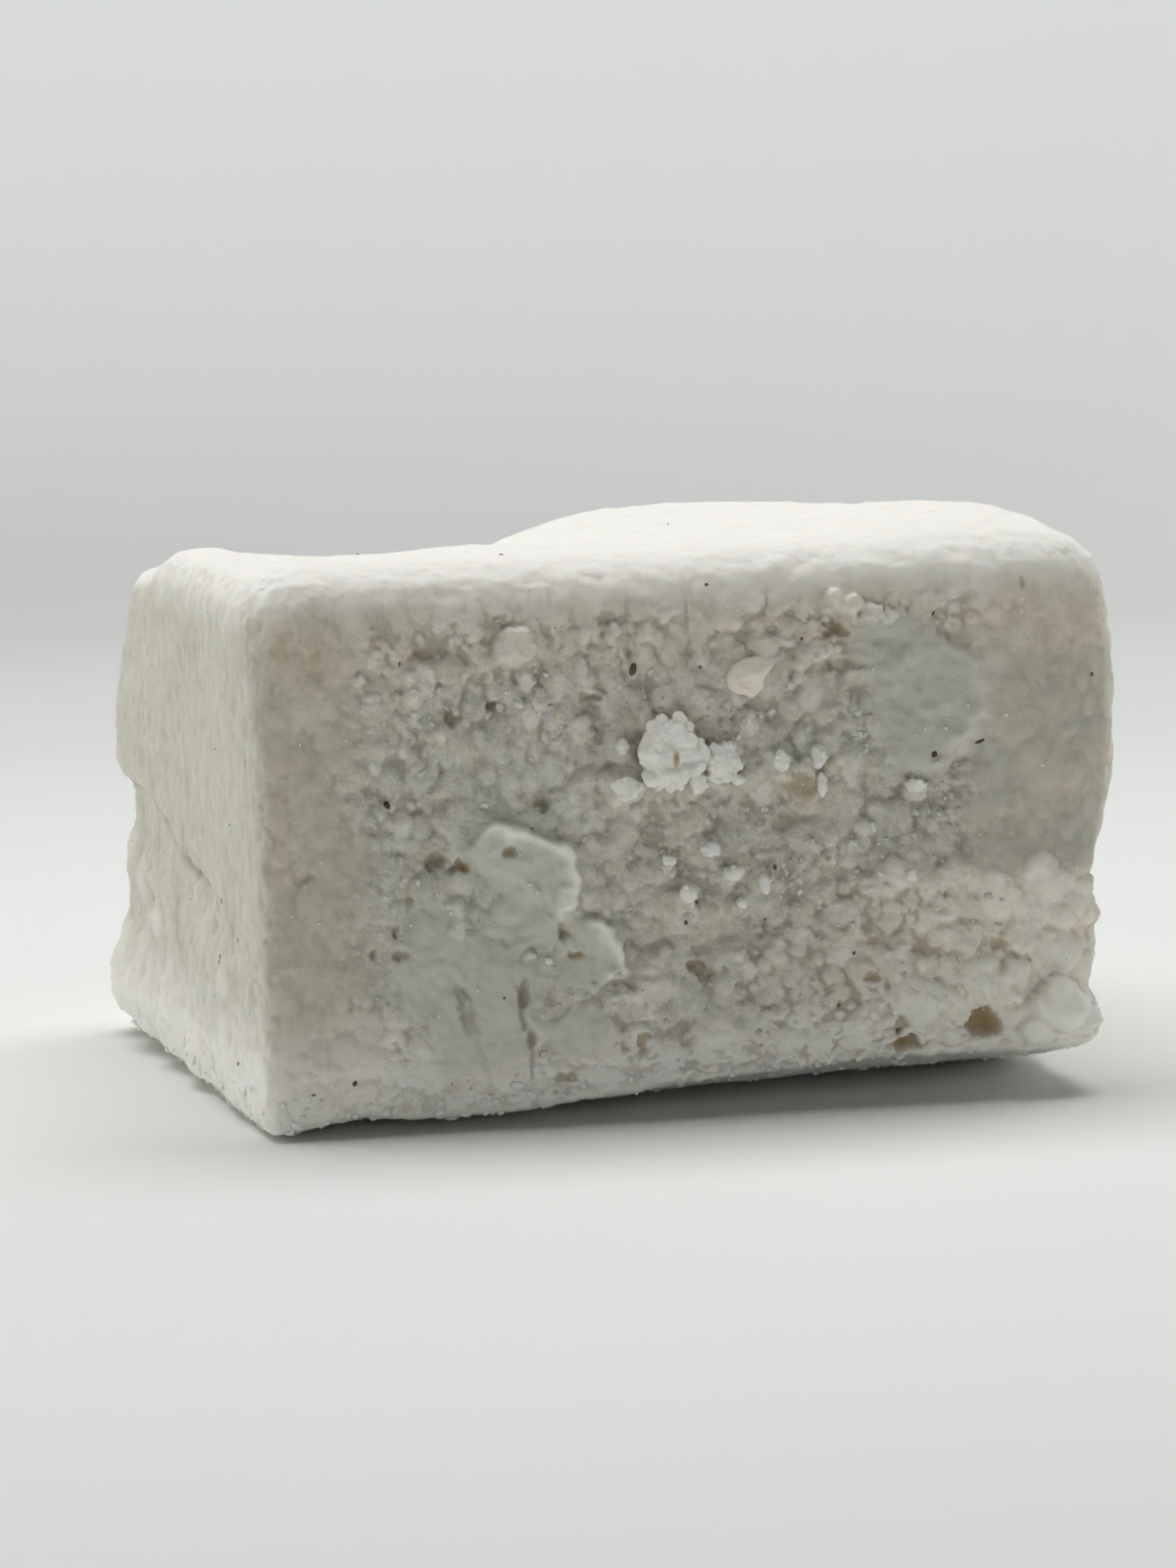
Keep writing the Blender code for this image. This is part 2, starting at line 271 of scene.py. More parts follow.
# Cracks in the left face: lines of (y, z), width and depth, in mm
LEFT_CRACKS = (
    (((18.0, 12.9), (10.9, 12.9), (5.0, 11.5), (1.0, 10.4), (-3.0, 9.9), (-8.2, 8.2)), 0.25, 0.3),
    (((-12.0, 10.1), (-12.8, 9.0), (-12.4, 7.9)), 0.3, 0.28),
    (((-9.5, 12.7), (-9.9, 10.9)), 0.22, 0.2),
    (((3.0, 9.5), (1.5, 6.5), (-2.0, 4.0), (-5.0, 2.1)), 0.3, 0.2),
    (((13.0, 8.5), (9.0, 7.3), (6.0, 7.7)), 0.3, 0.2),
)

# Vanilla seeds on the front face: (x, z, half width, half height) in mm, tilt in degrees, how brown
FRONT_SEEDS = (
    (-2.6, 20.4, 0.2, 0.32, -15.0, 0.5), (0.5, 20.4, 0.1, 0.1, 0.0, 0.8),
    (-14.0, 14.9, 0.27, 0.17, -25.0, 0.1), (-13.3, 21.1, 0.06, 0.15, 0.0, 0.8),
    (-9.3, 19.1, 0.11, 0.08, 0.0, 0.7), (0.9, 24.1, 0.12, 0.09, 40.0, 0.3),
    (11.5, 22.4, 0.1, 0.17, -30.0, 0.8), (13.7, 16.5, 0.34, 0.12, 22.0, 0.1),
    (11.4, 16.0, 0.19, 0.2, 0.0, 0.1), (19.1, 19.3, 0.1, 0.13, 0.0, 0.7),
    (0.1, 9.8, 0.09, 0.13, 20.0, 0.8), (-0.4, 8.9, 0.15, 0.13, 0.0, 0.6),
    (7.4, 7.1, 0.11, 0.09, 20.0, 0.8), (6.7, 4.7, 0.15, 0.1, 30.0, 0.8),
    (3.4, 8.8, 0.12, 0.1, 0.0, 0.8), (3.8, 11.2, 0.1, 0.15, 10.0, 0.6),
    (-15.8, 2.5, 0.15, 0.15, 0.0, 0.2), (-17.7, 2.1, 0.13, 0.06, 0.0, 0.6),
    (-9.0, 6.0, 0.08, 0.08, 0.0, 0.8), (-7.4, 13.5, 0.08, 0.08, 0.0, 0.7),
    (5.2, 21.5, 0.1, 0.13, -20.0, 0.9),
)


def smooth_step(low, high, value):
    share = np.clip((value - low) / (high - low), 0.0, 1.0)
    return share * share * (3.0 - 2.0 * share)


def noise_at(points, span, salt=0.0):
    """Smooth noise in about -1..1 that varies over a span in mm, or over one span per axis."""
    scaled = points / np.asarray(span, float) + salt
    return np.fromiter(map(noise.noise, scaled.tolist()), float, len(points))


def by_cell(flat, cell):
    """The numbers of the flat points, gathered by the square cell that each lies in."""
    cells = np.floor(flat / cell).astype(int)
    order = np.lexsort(cells.T)
    cells = cells[order]
    breaks = np.flatnonzero(np.any(np.diff(cells, axis=0), axis=1)) + 1
    groups = np.split(order, breaks)
    return {tuple(cells[start].tolist()): group for start, group in zip([0, *breaks], groups)}


def to_segment(flat, start, end):
    """Distance from each flat point to the segment."""
    run = np.subtract(end, start)
    share = np.clip((flat - start) @ run / (run @ run), 0.0, 1.0)
    return np.linalg.norm(flat - start - share[:, None] * run, axis=1)


def to_line(flat, points):
    """Distance from each flat point to the open line through the points."""
    return np.min([to_segment(flat, start, end) for start, end in zip(points, points[1:])], axis=0)


def inside_outline(flat, outline):
    """Distance from each flat point to the closed outline, positive inside it."""
    inside = np.zeros(len(flat), bool)
    across, up = flat.T
    for (x0, z0), (x1, z1) in zip(outline, outline[1:] + outline[:1]):
        if z0 != z1:
            inside ^= ((z0 > up) != (z1 > up)) & (across < x0 + (up - z0) / (z1 - z0) * (x1 - x0))
    return to_line(flat, outline + outline[:1]) * np.where(inside, 1.0, -1.0)


def bump(flat, middle, half_sizes):
    """A rounded bump over the flat points: 1 in the middle, 0 outside its half sizes."""
    share = np.linalg.norm((flat - middle) / half_sizes, axis=1)
    return np.sqrt(np.clip(1.0 - share * share, 0.0, 1.0))


def soft_spot(across, up, middle, spread):
    """A soft spot: 1 in its middle, falling off over its spread."""
    return np.exp(-(((across - middle[0]) / spread[0]) ** 2 + ((up - middle[1]) / spread[1]) ** 2))


def warps(places, span, salts):
    """One column of noise for each salt."""
    return np.stack([noise_at(places, span, salt) for salt in salts], axis=1)


def link_object(name, data):
    made = bpy.data.objects.new(name, data)
    bpy.context.scene.collection.objects.link(made)
    return made


def modified(mesh, kind, **settings):
    """The mesh with one modifier applied."""
    holder = link_object("holder", mesh)
    modifier = holder.modifiers.new("modifier", kind)
    for name, value in settings.items():
        setattr(modifier, name, value)
    depsgraph = bpy.context.evaluated_depsgraph_get()
    mesh = bpy.data.meshes.new_from_object(holder.evaluated_get(depsgraph))
    bpy.data.objects.remove(holder)
    return mesh


def mesh_arrays(mesh):
    """Vertex places in mm and outward directions."""
    places = np.empty(len(mesh.vertices) * 3, np.float32)
    mesh.vertices.foreach_get("co", places)
    outs = np.empty(len(mesh.vertices) * 3, np.float32)
    mesh.vertices.foreach_get("normal", outs)
    return places.reshape(-1, 3).astype(float) / MM, outs.reshape(-1, 3).astype(float)


def set_places(mesh, places):
    mesh.vertices.foreach_set("co", (places * MM).astype(np.float32).ravel())
    mesh.update()


def mesh_from(shape, name):
    mesh = bpy.data.meshes.new(name)
    shape.to_mesh(mesh)
    shape.free()
    return mesh


def add_band(shape, inner, outer):
    """Faces between two closed rings of as many vertices."""
    for step in range(len(inner)):
        after = (step + 1) % len(inner)
        shape.faces.new((inner[step], outer[step], outer[after], inner[after]))


# ------------------------------ the block's skin


def smooth(shape, wanted, rounds, **axes):
    """Evens out the vertices that are wanted, along the axes that are on."""
    shape.normal_update()
    verts = [vert for vert in shape.verts if wanted(vert)]
    for _ in range(rounds):
        bmesh.ops.smooth_vert(shape, verts=verts, factor=0.5, **axes)


def fine_skin():
    """The CAD block as one smooth skin, finest on the front face and finer on the left one."""
    shape = bmesh.new()
    shape.from_mesh(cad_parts[NODE].data)
    bmesh.ops.remove_doubles(shape, verts=shape.verts, dist=WELD_DISTANCE * MM)
    angles = {"angle_face_threshold": JOIN_ANGLE, "angle_shape_threshold": JOIN_ANGLE}
    bmesh.ops.join_triangles(shape, faces=shape.faces, **angles)

    def on_right_front(vert):
        return vert.normal.y < -LEVELLED_LEAN and vert.co.x > 0.0

    smooth(shape, on_right_front, LEVELLING_ROUNDS, use_axis_y=True)
    mesh = modified(mesh_from(shape, "skin"), "SUBSURF", levels=SKIN_LEVELS)
    shape = bmesh.new()
    shape.from_mesh(mesh)
    for axis, cuts in ((1, FRONT_CUTS), (0, LEFT_CUTS)):
        shape.normal_update()
        leaning = {vert for vert in shape.verts if vert.normal[axis] < -FINER_LEAN}
        edges = [edge for edge in shape.edges if leaning.issuperset(edge.verts)]
        bmesh.ops.subdivide_edges(shape, edges=edges, cuts=cuts, use_grid_fill=True)

    def on_left_or_front(vert):
        return min(vert.normal.x, vert.normal.y) < -SMOOTHED_LEAN

    every_axis = {"use_axis_x": True, "use_axis_y": True, "use_axis_z": True}
    smooth(shape, on_left_or_front, SMOOTHING_ROUNDS, **every_axis)
    return mesh_from(shape, "fine_skin")


# Grains of torn foam, biggest first: how many on a square mm, smallest and largest half size in mm
GRAINS = ((0.8, 0.42, 0.80), (3.5, 0.22, 0.42), (5.0, 0.12, 0.22))
# How far grains stray from round, in mm
GRAIN_WARP = 0.12
# Side of the square that the grains of a face are scattered over, in mm
GRAIN_FIELD = 41.6


class Relief:
    """Height in mm over the smooth skin, and what the material needs to know there."""

    # Some masks carry painted light: one darkens low places with painted shade and films with a duller
    # tone, one is dust that also carries painted light and painted highlights, and one makes the lower
    # right and the nub creamy and also brighter as painted light
    MASKS = ("film", "stain", "warm", "cool", "cream_and_painted_light", "painted_shade_and_dull_tone", "dust_and_painted_light", "torn")

    def __init__(self, places, outs):
        self.places = places
        self.height, self.film, self.stain, self.painted_shade_and_dull_tone = np.zeros((4, len(places)))
        self.left, self.right = (smooth_step(*SIDE_LEAN, side * outs[:, 0]) for side in (-1.0, 1.0))
        self.front, self.back = (smooth_step(*SIDE_LEAN, side * outs[:, 1]) for side in (-1.0, 1.0))
        self.top = smooth_step(*TOP_LEAN, outs[:, 2])
        # The zones of the material, each fading in between two places in mm
        x, _, z = places.T
        wander = self.noise(2.0, 21.0)
        upper_band = smooth_step(19.0, 22.5, z + wander)
        left_strip = 0.4 * smooth_step(-14.5, -17.0, x + wander)
        lower_right = smooth_step(2.0, 13.0, x + wander) * smooth_step(13.0, 5.0, z + wander)
        mid_left = soft_spot(x, z, (-9.5, 10.5), (5.5, 6.5))
        nub = soft_spot(x, z, NUB, NUB_SPREAD)
        # The upper edge is paler partly from its dusting and partly as painted light on its rounding; the
        # lower edge and the nub are painted paler as painted light
        dusted_and_lit_upper_edge = smooth_step(HEIGHT - 4.5, HEIGHT - 1.7, z + 0.7 * wander)
        painted_light_low = smooth_step(6.8, 1.0, z + 0.8 * wander) + 0.30 * smooth_step(4.0, 1.5, z)
        self.warm = (1.0 - self.top) * np.maximum(upper_band, left_strip) * (1.0 - self.left)
        self.cool = self.front * np.clip(mid_left * (1.0 + 0.5 * wander), 0.0, 1.0) + 0.6 * self.left
        # The lower right and the nub are creamy, and are also painted brighter as painted light
        self.cream_and_painted_light = self.front * (lower_right + nub) + 0.12 * self.left + 0.4 * self.right
        self.dust_and_painted_light = self.top + dusted_and_lit_upper_edge + painted_light_low + nub + 0.05 * self.left + 0.2 * self.right
        self.cream_and_painted_light, self.dust_and_painted_light = np.clip((self.cream_and_painted_light, self.dust_and_painted_light), 0.0, 1.0)

    def noise(self, span, salt):
        return noise_at(self.places, span, salt)


def film_shares(relief):
    """For each film, as shares: where it covers the front, where it stands proud, where its rim is."""
    face = relief.places[:, (0, 2)]
    ragged = 0.34 * relief.noise(1.0, 3.1) + 0.13 * relief.noise(0.35, 5.7)
    shares = []
    for film in FILMS:
        depth = inside_outline(face, film.outline) + ragged
        away = face - np.mean(film.outline, axis=0)
        facing_side = away @ (film.side / np.linalg.norm(film.side)) / np.linalg.norm(away, axis=1)
        ridge = np.exp(-(((depth - RIM_INSET) / RIM_WIDTH) ** 2))
        raised = smooth_step(-0.2, 0.4, facing_side) * ridge
        share = relief.front * smooth_step(-film.edge, film.edge, depth)
        shares.append((share, share * smooth_step(-0.9, 0.2, facing_side), relief.front * raised))
    return shares


def curd_share(relief, films):
    """How torn and curdy the surface is, 0..1."""
    x, _, z = relief.places.T
    wander = 1.5 * relief.noise(3.0, 8.2)
    left_strip = smooth_step(-17.5, -12.5, x + wander)
    top_strip = 1.0 - smooth_step(HEIGHT - 4.6, HEIGHT - 2.8, z + 0.5 * wander)
    smooth_corner = smooth_step(12.0, 14.2, x + 0.6 * wander) * smooth_step(9.4, 11.4, z + 0.6 * wander)
    lower_left = smooth_step(4.5, 2.5, z) * smooth_step(0.0, -4.0, x)
    front = 0.28 + 0.72 * left_strip * top_strip * (1.0 - smooth_corner) * (1.0 - 0.5 * lower_left)
    front *= 1.0 - 0.8 * smooth_step(HEIGHT - 3.4, HEIGHT - 1.6, z)
    for film, (share, *_) in zip(FILMS, films):
        front *= 1.0 - film.cover * share
    front *= 1.0 - 0.5 * smooth_step(9.0, 15.0, x) * smooth_step(12.5, 9.5, z)
    front *= 1.0 - 0.35 * soft_spot(x, z, (-9.0, 13.0), (5.0, 4.5))
    front *= 1.0 - 0.85 * soft_spot(x, z, BARE_NUB, BARE_NUB_SPREAD)
    patches = smooth_step(-0.25, 0.3, relief.noise(7.0, 1.4))
    back = 0.25 + 0.55 * patches * top_strip
    foot = smooth_step(12.5, 9.0, z + wander)
    left = 0.22 + 0.14 * foot
    right = 0.40 + 0.45 * foot
    curd = relief.front * front + relief.back * back + relief.left * left + relief.right * right
    return np.clip(curd + 0.18 * relief.top, 0.0, 1.0)


class GrainBed:
    """A bed of rounded grains over flat points: how high it is, in mm, and how pale its grains are, palest
    on their crowns as a painted highlight.
    """

    # Side of the square cells that its points are gathered by, in mm
    CELL = 0.8

    def __init__(self, flat, ground):
        self.flat = flat
        self.groups = by_cell(flat, self.CELL)
        self.height = np.full(len(flat), ground)
        self.pale = np.zeros(len(flat))

    def cells(self, middle, reach):
        """The numbers of the columns or rows of cells within reach of the middle."""
        first, last = (math.floor((middle + side * reach) / self.CELL) for side in (-1.0, 1.0))
        return range(first, last + 1)

    def add(self, across, up, half_sizes, level, height, turn, pale):
        """Lays one grain on the bed, turned by an angle in radians."""
        reach = max(half_sizes)
        cells = itertools.product(self.cells(across, reach), self.cells(up, reach))
        near = [self.groups[cell] for cell in cells if cell in self.groups]
        if not near:
            return
        near = np.concatenate(near)
        right, above = self.flat[near].T - np.array(((across,), (up,)))
        cosine, sine = math.cos(turn), math.sin(turn)
        share = ((cosine * right + sine * above) / half_sizes[0]) ** 2
        share += ((cosine * above - sine * right) / half_sizes[1]) ** 2
        dome = np.sqrt(np.clip(1.0 - share, 0.0, 1.0))
        lift = level + height * dome
        higher = (share < 1.0) & (lift > self.height[near])
        self.height[near[higher]] = lift[higher]
        # Paler towards the crown: a painted highlight
        self.pale[near[higher]] = pale * dome[higher]


def is_drawn(x, z):
    """Whether the grains of the front face are drawn out upright at this place."""
    return -14.0 < x < 1.0 and z > 15.5


def scatter_grains(bed, chance, upright):
    """Covers the whole face with grains of every size."""
    for per_area, smallest, largest in GRAINS:
        for _ in range(int(per_area * GRAIN_FIELD * GRAIN_FIELD)):
            across = GRAIN_FIELD * (chance.random() - 0.5)
            up = GRAIN_FIELD * chance.random()
            size = smallest + (largest - smallest) * chance.random() ** 1.5
            drawn = upright(across, up)
            long = chance.uniform(1.2, 2.0) if drawn else chance.uniform(0.8, 1.3)
            turn = chance.gauss(0.0, 0.25) if drawn else chance.uniform(0.0, math.pi)
            half_sizes = (size / math.sqrt(long), size * math.sqrt(long))
            level = chance.gauss(0.0, 0.04) - 0.20 * size
            height = size * chance.uniform(0.40, 0.70)
            bed.add(across, up, half_sizes, level, height, turn, chance.random() ** 2)


def add_curd(relief, curd):
    """Torn foam: beds of soft grains on ground that is itself uneven."""
    relief.torn = smooth_step(0.2, 0.7, curd)
    smooth_front = relief.front * (1.0 - relief.torn)
    # Painted shade over the smooth skin between the curd
    relief.painted_shade_and_dull_tone += smooth_front * np.where(relief.places[:, 0] < 0.0, *SMOOTH_SKIN_SHADE)
    chance = random.Random(19)
    warped = relief.places + GRAIN_WARP * warps(relief.places, 0.5, (31.0, 37.0, 41.0))
    ground = 0.20 * relief.noise(2.3, 4.0) + 0.10 * relief.noise(0.9, 6.0)
    # Each face's mask, the axes it spans, where its lowest place is, and where its grains are drawn out
    faces = (
        (relief.front, (0, 2), 0.0, is_drawn),
        (relief.back, (0, 2), 0.0, lambda x, z: False),
        (relief.left, (1, 2), 0.0, lambda y, z: z > 9.0),
        (relief.right, (1, 2), 0.0, lambda y, z: z > 12.0),
        (relief.top, (0, 1), -GRAIN_FIELD / 2.0, lambda x, y: False),
    )
    for mask, axes, lowest, upright in faces:
        seen = np.flatnonzero(mask > LEAST_SHARE)
        bed = GrainBed(warped[seen][:, axes] - (0.0, lowest), -0.04)
        scatter_grains(bed, chance, upright)
        share = mask[seen] * curd[seen]
        relief.height[seen] += share * (bed.height + ground[seen] - 0.12)
        # Painted shade where the grains leave low places; the grains' paleness is partly pale foam and
        # partly a painted highlight on their crowns
        relief.painted_shade_and_dull_tone[seen] += 0.68 * share * smooth_step(0.09, -0.06, bed.height + 0.4 * ground[seen])
        relief.dust_and_painted_light[seen] += 0.75 * share * bed.pale


def add_streaks(relief):
    """Fine upright streaks where the knife drew the foam down."""
    x, y, z = relief.places.T
    drawn = relief.left * (0.4 + 0.5 * smooth_step(6.0, 11.0, z + 0.15 * y))
    drawn = np.maximum(drawn, 0.5 * relief.right * smooth_step(9.0, 12.0, z))
    drawn = np.maximum(drawn, 0.35 * relief.front * smooth_step(-13.0, -16.0, x))
    streaks = relief.noise((0.45, 0.40, 2.6), 7.0)
    streaks += 0.6 * relief.noise((0.25, 0.22, 1.1), 9.0)
    blotches = relief.noise(1.0, 27.0) + 0.7 * relief.noise(0.45, 28.0)
    streaks = streaks * (0.7 + 0.5 * blotches) + 0.7 * blotches
    relief.height += 0.09 * drawn * streaks
    # Painted shade in the troughs of the streaks
    relief.painted_shade_and_dull_tone += 0.35 * drawn * smooth_step(-0.1, -0.8, streaks)


def add_films(relief, films):
    """Lays the films over the curd, with wrinkles and raised rims that carry a painted highlight."""
    wrinkles = 0.15 * relief.noise(1.2, 25.0) + 0.10 * relief.noise(0.45, 26.0)
    for film, (share, proud, edge) in zip(FILMS, films):
        relief.height += film.proud * proud + wrinkles * share + film.rim * edge
        relief.film = np.maximum(relief.film, share)
        # A raised rim gets a painted highlight; under a film the painted shade gives way to the film's
        # duller tone
        rim_highlight = min(1.0, RIM_HIGHLIGHT * film.rim) * edge
        relief.dust_and_painted_light = np.maximum(relief.dust_and_painted_light * (1.0 - 0.7 * share), rim_highlight)
        relief.painted_shade_and_dull_tone = relief.painted_shade_and_dull_tone * (1.0 - share) + film.dull * share


def add_lump(bed, chance, lump, parts):
    """Lays one lump on the bed, with smaller parts round it."""
    across, up, half_width, half_height, height = lump
    size = (half_width + half_height) / 2.0
    bed.add(across, up, (0.9 * half_width, 0.9 * half_height), 0.0, height, 0.0, 0.8)
    for _ in range(parts if size < LARGE_LUMP else parts // 2):
        turn = chance.uniform(0.0, 2.0 * math.pi)
        reach = chance.uniform(0.4, 0.9)
        part = size * chance.uniform(0.25, 0.5)
        spot = (across + reach * half_width * math.cos(turn), up + reach * half_height * math.sin(turn))
        level = height * (math.sqrt(1.0 - reach * reach) - 0.14)
        half_sizes = (part, part * chance.uniform(0.8, 1.4))
        bed.add(*spot, half_sizes, level, 0.5 * min(part, height), turn, chance.random())


def add_lumps(relief):
    """Clusters of grains that stand out from the front and the left face."""
    chance = random.Random(3)
    faces = (
        (relief.front, (0, 2), FRONT_LUMPS, LUMP_PARTS),
        (relief.left, (1, 2), LEFT_LUMPS, 0),
    )
    for face, axes, lumps, parts in faces:
        seen = np.flatnonzero(face > LEAST_SHARE)
        warp = LUMP_WARP * warps(relief.places[seen], 0.5, (13.0, 14.0))
        bed = GrainBed(relief.places[seen][:, axes] + warp, 0.0)
        for lump in lumps:
            add_lump(bed, chance, lump, parts)
        share = face[seen]
        relief.height[seen] += share * bed.height
        # Where a lump stands out it is paler, partly as a painted highlight on its crown, and loses painted
        # shade
        standing = share * smooth_step(0.02, 0.15, bed.height)
        relief.dust_and_painted_light[seen] = np.maximum(relief.dust_and_painted_light[seen], standing * (0.10 + 0.65 * bed.pale))
        relief.painted_shade_and_dull_tone[seen] *= 1.0 - 0.7 * standing


def add_pits(relief):
    """Pits in the front face, some with a brown stain round them."""
    warp = warps(relief.places, 0.7, (15.0, 19.0)) + 0.5 * warps(relief.places, 0.3, (18.0, 22.0))
    face = relief.places[:, (0, 2)] + PIT_WARP * warp
    for x, z, half_width, half_height, depth, brown in FRONT_PITS:
        half_sizes = np.array((half_width, half_height))
        pit = relief.front * bump(face, (x, z), half_sizes)
        halo = relief.front * bump(face, (x, z), HALO_SIZE * half_sizes)
        relief.height -= depth * pit
        # Painted shade in the pit, darker in deeper pits; the brown round it is a stain
        relief.painted_shade_and_dull_tone = np.maximum(relief.painted_shade_and_dull_tone, min(0.7, 1.1 * depth) * pit)
        relief.stain = np.maximum(relief.stain, brown * (0.75 * pit + 0.25 * halo * halo))
        relief.dust_and_painted_light *= 1.0 - pit
        relief.film *= 1.0 - pit


def add_cracks(relief):
    """Cracks in the front and the left face, broken up along their run."""
    wander = 0.15 * relief.noise(0.9, 16.0)[:, None]
    broken = np.clip(0.7 + 1.1 * relief.noise(1.8, 18.0), 0.2, 1.2)
    for mask, axes, cracks in ((relief.front, (0, 2), FRONT_CRACKS), (relief.left, (1, 2), LEFT_CRACKS)):
        flat = relief.places[:, axes] + wander
        for line, width, depth in cracks:
            crack = mask * broken * np.exp(-((to_line(flat, line) / width) ** 2))
            relief.height -= depth * crack
            # Painted shade along the crack, darker in deeper cracks
            relief.painted_shade_and_dull_tone = np.maximum(relief.painted_shade_and_dull_tone, min(0.8, 2.5 * depth) * crack)


def lower_edge_lift(places):
    """How far each place rises because the front's lower edge is cut unevenly, in mm."""
    x, y, z = places.T
    along, lifts = np.array(LOWER_EDGE_LIFT).T
    flat = places * (1.0, 0.0, 0.0)
    ragged = 1.0 + 0.35 * noise_at(flat, 0.5, 61.0) + 0.3 * noise_at(flat, 0.2, 63.0)
    forward = smooth_step(-15.0, -18.5, y)
    return np.interp(x, along, lifts) * ragged * forward * smooth_step(4.5, 0.4, z)


def reshaped(places):
    """The block's swollen and waisted sides and its dented top, as offsets in mm."""
    x, y, z = places.T
    moved = np.zeros_like(places)
    back_left = smooth_step(-12.0, -18.0, x) * smooth_step(0.0, 14.0, y)
    front_right = smooth_step(12.0, 18.0, x) * smooth_step(0.0, -12.0, y)
    moved[:, 0] = front_right * np.interp(z, *np.array(RIGHT_OUTSETS).T)
    moved[:, 0] -= back_left * np.interp(z, *np.array(LEFT_OUTSETS).T)
    upper = smooth_step(HEIGHT - 7.0, HEIGHT - 2.0, z)
    for middle_x, middle_y, half_x, half_y, rise in TOP_OFFSETS:
        moved[:, 2] += rise * upper * soft_spot(x, y, (middle_x, middle_y), (half_x, half_y))
    return moved


def add_unevenness(relief):
    """The crease at the right of the front face, and gentle swells all over."""
    x, _, z = relief.places.T
    crease = np.exp(-(((z - 10.6) / 1.1) ** 2)) * smooth_step(6.0, 13.0, x)
    relief.height += 0.55 * relief.front * crease
    relief.height += 0.10 * relief.noise(2.4, 9.0) * (1.0 - 0.6 * relief.top)
    relief.height += 0.04 * relief.noise(0.6, 12.0)
    top_noise = 0.08 * relief.noise(0.9, 33.0) + 0.04 * relief.noise(0.4, 34.0)
    relief.height += relief.top * top_noise


def thinned(mesh, triangles):
    """The mesh with its flatter stretches drawn with fewer triangles."""
    mesh.calc_loop_triangles()
    return modified(mesh, "DECIMATE", ratio=triangles / len(mesh.loop_triangles))


def marshmallow_body():
    """The block itself: the fine skin, raised by its relief and marked with its masks."""
    mesh = fine_skin()
    places, outs = mesh_arrays(mesh)
    relief = Relief(places, outs)
    films = film_shares(relief)
    add_unevenness(relief)
    add_curd(relief, curd_share(relief, films))
    add_streaks(relief)
    add_films(relief, films)
    add_lumps(relief)
    add_pits(relief)
    add_cracks(relief)
    # Brown where the creamy part and the painted shade meet
    relief.stain = np.maximum(relief.stain, 0.55 * relief.cream_and_painted_light * np.clip(relief.painted_shade_and_dull_tone, 0.0, 1.0))
    standing = smooth_step(0.0, 0.7, places[:, 2])
    places += outs * (relief.height * standing)[:, None]
    places += reshaped(places)
    places[:, 2] += lower_edge_lift(places)
    set_places(mesh, places)
    for name in Relief.MASKS:
        add_mask(mesh, name, np.clip(getattr(relief, name), 0.0, 1.0))
    mesh = thinned(mesh, SKIN_TRIANGLES)
    mesh.name = "marshmallow_body"
    mesh.shade_smooth()
    return link_object("marshmallow_body", mesh)


# ------------------------------ materials


class Graph:
    """Short calls for building a node material. Its spans and distances are in mm."""

    def __init__(self, name, **values):
        """Values go to sockets of the shader: Base_Color stands for Base Color."""
        self.material = bpy.data.materials.new(name)
        self.material.use_nodes = True
        self.nodes = self.material.node_tree.nodes
        self.link = self.material.node_tree.links.new
        self.shader = self.nodes["Principled BSDF"]
        self.place = self.nodes.new("ShaderNodeTexCoord").outputs["Object"]
        for socket, value in values.items():
            self.shader.inputs[socket.replace("_", " ")].default_value = value

    def add(self, kind, output, inputs, **settings):
        """An output of a new node. Each of its inputs gets a socket or a plain value."""
        node = self.nodes.new("ShaderNode" + kind)
        for name, value in settings.items():
            setattr(node, name, value)
        for name, value in inputs.items():
            if isinstance(value, bpy.types.NodeSocket):
                self.link(value, node.inputs[name])
            else:
                node.inputs[name].default_value = value
        return node.outputs[output]

    def mask(self, name):
        return self.add("Attribute", "Fac", {}, attribute_name=name)

    def noise(self, span, detail=3.0, roughness=0.55):
        """Noise in 0..1 that varies over the span."""
        scale = 1.0 / (span * MM)
        inputs = {"Vector": self.place, "Scale": scale, "Detail": detail, "Roughness": roughness}
        return self.add("TexNoise", "Fac", inputs)

    def cells(self, span):
        """Distance to the nearest of scattered points, in spans."""
        return self.add("TexVoronoi", "Distance", {"Vector": self.place, "Scale": 1.0 / (span * MM)})

    def ramp(self, value, low, high, first=0.0, last=1.0):
        """The value stretched so that low..high becomes first..last."""
        inputs = {"Value": value, "From Min": low, "From Max": high, "To Min": first, "To Max": last}
        return self.add("MapRange", "Result", inputs)

    def multiply(self, first, second):
        return self.add("Math", 0, {0: first, 1: second}, operation="MULTIPLY")

    def mix(self, share, first, second):
        """A colour between two colours, each a socket or a plain colour."""
        return self.add("Mix", "Result", {"Factor": share, "A": first, "B": second}, data_type="RGBA")

    def bumped(self, height, distance, strength=1.0, **under):
        """A normal tilted by a height of so many distances, over the normal under it, if there is one."""
        inputs = {"Height": height, "Distance": distance * MM, "Strength": strength, **under}
        return self.add("Bump", "Normal", inputs)

    def finish(self, colour, rough, normal):
        """The material, with these sockets as its colour, roughness and normal."""
        for name, socket in (("Base Color", colour), ("Roughness", rough), ("Normal", normal)):
            self.link(socket, self.shader.inputs[name])
        return self.material


def see_through(weight, radius, scale):
    """Shader values for light that wanders under the surface, its scale in mm."""
    return {"Subsurface_Weight": weight, "Subsurface_Radius": radius, "Subsurface_Scale": scale * MM}


